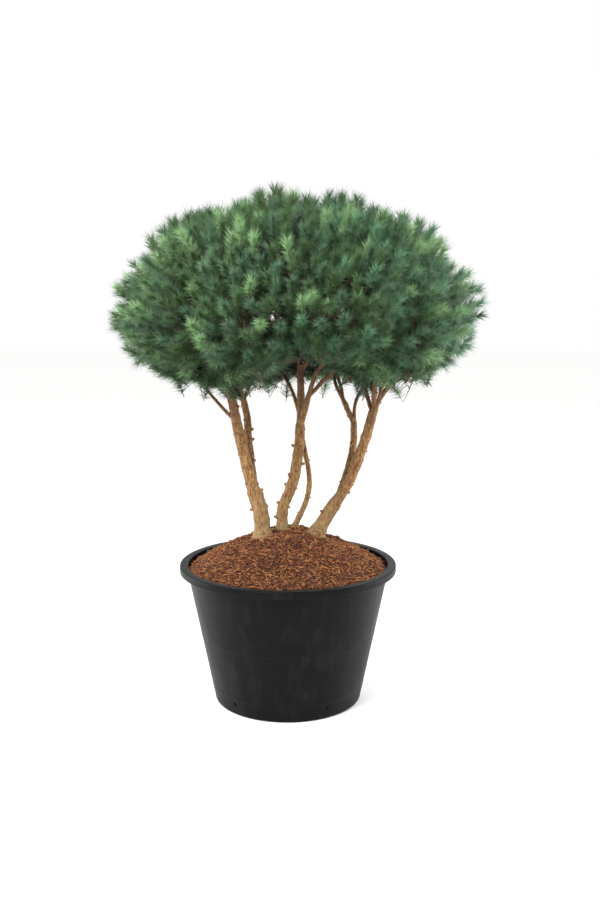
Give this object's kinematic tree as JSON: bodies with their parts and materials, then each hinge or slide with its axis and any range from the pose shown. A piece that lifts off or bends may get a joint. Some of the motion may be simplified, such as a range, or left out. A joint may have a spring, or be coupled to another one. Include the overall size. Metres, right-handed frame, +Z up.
{
  "type": "multi-stemmed Scots pine in a nursery container",
  "caption": "Multi-stemmed pine with a domed crown of blue-green needles on bare leaning stems, in a round black tapered pot heaped with shredded bark.",
  "frame": {"origin": "centre of the pot's flat underside, on the ground", "axes": "+Z up along the pot's axis, -Y to the front, +X to the right seen from the front"},
  "size_m": [2.1277, 2.0576, 2.874],
  "materials": {
    "pot_plastic": "moulded",
    "bark_mulch": "rough",
    "bark": "rough",
    "needles": "matte"
  },
  "bodies": {
    "root": {"bough_back_inner": "bark", "bough_back_left": "bark", "bough_left_back": "bark", "bough_left_fork": "bark", "bough_left_front": "bark", "bough_left_side": "bark", "bough_middle_crown": "bark", "bough_middle_front": "bark", "bough_middle_right": "bark", "bough_middle_side": "bark", "bough_right_front": "bark", "bough_right_inner": "bark", "bough_right_upright": "bark", "foliage_shoulder_1": "needles", "foliage_shoulder_2": "needles", "foliage_shoulder_3": "needles", "foliage_shoulder_4": "needles", "foliage_shoulder_5": "needles", "foliage_shoulder_6": "needles", "foliage_skirt_1": "needles", "foliage_skirt_10": "needles", "foliage_skirt_2": "needles", "foliage_skirt_3": "needles", "foliage_skirt_4": "needles", "foliage_skirt_5": "needles", "foliage_skirt_6": "needles", "foliage_skirt_7": "needles", "foliage_skirt_8": "needles", "foliage_skirt_9": "needles", "foliage_top_1": "needles", "foliage_top_2": "needles", "foliage_top_3": "needles", "leader_left": "bark", "pot": "pot_plastic", "stem_back": "bark", "stem_left": "bark", "stem_middle": "bark", "stem_right": "bark", "stem_thin": "bark", "substrate": "bark_mulch"}
  },
  "joints": []
}
